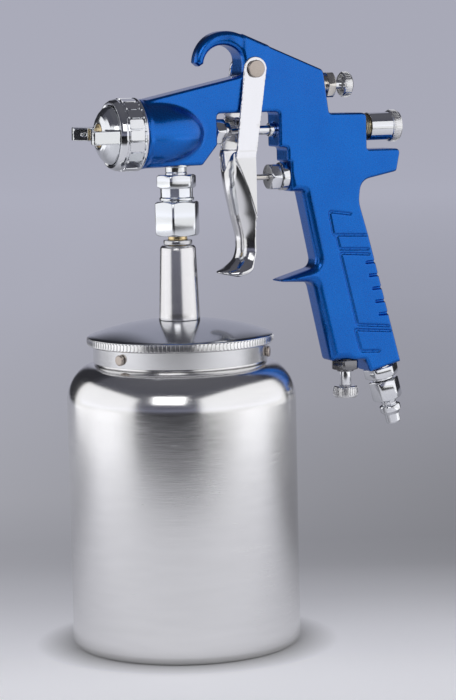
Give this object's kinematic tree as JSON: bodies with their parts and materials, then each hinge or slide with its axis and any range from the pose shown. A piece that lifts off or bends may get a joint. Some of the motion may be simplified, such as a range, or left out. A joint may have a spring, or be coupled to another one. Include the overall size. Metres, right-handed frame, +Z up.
{
  "type": "paint spray gun",
  "caption": "Suction-feed paint spray gun: hooked pistol body with trigger, needle and air valves over a round metal cup with a bayonet lid.",
  "frame": {"origin": "centre of the cup's flat base", "axes": "+Z up along the cup's axis, paint leaves along -X, the handle is on the +X side, the gun lies in the plane Y = 0"},
  "size_m": [0.1731, 0.11, 0.2932],
  "materials": {
    "blue_paint": "gloss",
    "chrome": "polished",
    "polished_aluminium": "polished",
    "satin_aluminium": "satin",
    "brass": "polished",
    "steel": "satin",
    "black_steel": "satin",
    "seal": "matte"
  },
  "bodies": {
    "cup": {"cup": "satin_aluminium"},
    "gun": {"gun_body": "blue_paint", "fluid_nozzle": "brass", "nozzle_gasket": "seal", "needle_packing": "seal", "needle_packing_nut": "chrome", "needle_guide_bush": "steel", "needle_spring": "steel", "fluid_stud": "brass", "trigger_pin": "brass", "trigger_pin_screw": "steel", "air_valve_packing_nut": "chrome", "air_valve_housing": "chrome", "air_valve_packing": "seal", "air_valve_seat": "seal", "air_valve_spring": "steel", "pattern_valve_housing": "chrome", "air_adjuster_housing": "black_steel", "air_inlet_fitting": "chrome", "quick_plug": "chrome", "fluid_joint": "chrome", "union_nut": "chrome", "fluid_tail": "brass", "lid": "polished_aluminium", "lid_pin_1": "chrome", "lid_pin_2": "chrome", "lid_pin_3": "chrome", "lid_gasket": "seal", "lid_post": "polished_aluminium", "lid_post_nut": "steel", "post_collar": "steel", "pickup_tube": "steel", "inlet_strainer": "steel"},
    "air_cap": {"air_cap": "chrome"},
    "cap_ring": {"air_cap_ring": "chrome"},
    "trigger": {"trigger": "polished_aluminium"},
    "needle": {"fluid_needle": "steel"},
    "air_spindle": {"air_valve_spindle": "brass"},
    "needle_stop": {"needle_stop": "steel"},
    "fluid_knob": {"fluid_knob": "satin_aluminium"},
    "pattern_stem": {"pattern_valve_stem": "chrome", "pattern_valve_o_ring": "seal"},
    "pattern_knob": {"pattern_valve_knob": "satin_aluminium"},
    "adjuster_stem": {"air_adjuster_stem": "chrome", "air_adjuster_o_ring": "seal"},
    "adjuster_knob": {"air_adjuster_knob": "satin_aluminium"}
  },
  "joints": [
    {"name": "lid_turn", "type": "hinge", "parent": "cup", "child": "gun", "pos_m": [0, 0, 0.141], "axis": [0, 0, 1], "range_deg": [0, 35]},
    {"name": "cap_ring_turn", "type": "hinge", "parent": "gun", "child": "cap_ring", "pos_m": [-0.027, 0, 0.2455], "axis": [-1, 0, 0], "range_deg": [0, 90]},
    {"name": "air_cap_turn", "type": "hinge", "parent": "gun", "child": "air_cap", "pos_m": [-0.034, 0, 0.2455], "axis": [-1, 0, 0], "range_deg": [0, 90]},
    {"name": "trigger_pull", "type": "hinge", "parent": "gun", "child": "trigger", "pos_m": [0.0384, 0, 0.275], "axis": [0, -1, 0], "range_deg": [0, 12], "stiffness_Nm_per_rad": 2, "springref_deg": -14.32},
    {"name": "needle_slide", "type": "slide", "parent": "gun", "child": "needle", "axis": [1, 0, 0], "range_m": [0, 0.0062], "deforming": ["needle_spring"]},
    {"name": "air_spindle_slide", "type": "slide", "parent": "gun", "child": "air_spindle", "axis": [1, 0, 0], "range_m": [0, 0.0112], "deforming": ["air_valve_spring"]},
    {"name": "needle_stop_slide", "type": "slide", "parent": "gun", "child": "needle_stop", "axis": [1, 0, 0], "range_m": [0, 0.00201]},
    {"name": "fluid_knob_turn", "type": "hinge", "parent": "needle_stop", "child": "fluid_knob", "pos_m": [0.115, 0, 0.2455], "axis": [1, 0, 0], "range_deg": [0, 720]},
    {"name": "pattern_stem_slide", "type": "slide", "parent": "gun", "child": "pattern_stem", "axis": [1, 0, 0], "range_m": [-0.00151, 0.00076]},
    {"name": "pattern_knob_turn", "type": "hinge", "parent": "pattern_stem", "child": "pattern_knob", "pos_m": [0.09, 0, 0.2663], "axis": [1, 0, 0], "range_deg": [-720, 360]},
    {"name": "adjuster_stem_slide", "type": "slide", "parent": "gun", "child": "adjuster_stem", "axis": [0, 0, -1], "range_m": [-0.00151, 0.00076]},
    {"name": "adjuster_knob_turn", "type": "hinge", "parent": "adjuster_stem", "child": "adjuster_knob", "pos_m": [0.0875, 0, 0.115], "axis": [0, 0, -1], "range_deg": [-720, 360]}
  ],
  "couplings": [
    {"joint": "needle_slide", "follows": "trigger_pull", "m_per_rad": 0.0294},
    {"joint": "air_spindle_slide", "follows": "trigger_pull", "m_per_rad": 0.053},
    {"joint": "needle_stop_slide", "follows": "fluid_knob_turn", "m_per_rad": 0.00015915},
    {"joint": "pattern_stem_slide", "follows": "pattern_knob_turn", "m_per_rad": 0.00011937},
    {"joint": "adjuster_stem_slide", "follows": "adjuster_knob_turn", "m_per_rad": 0.00011937}
  ]
}
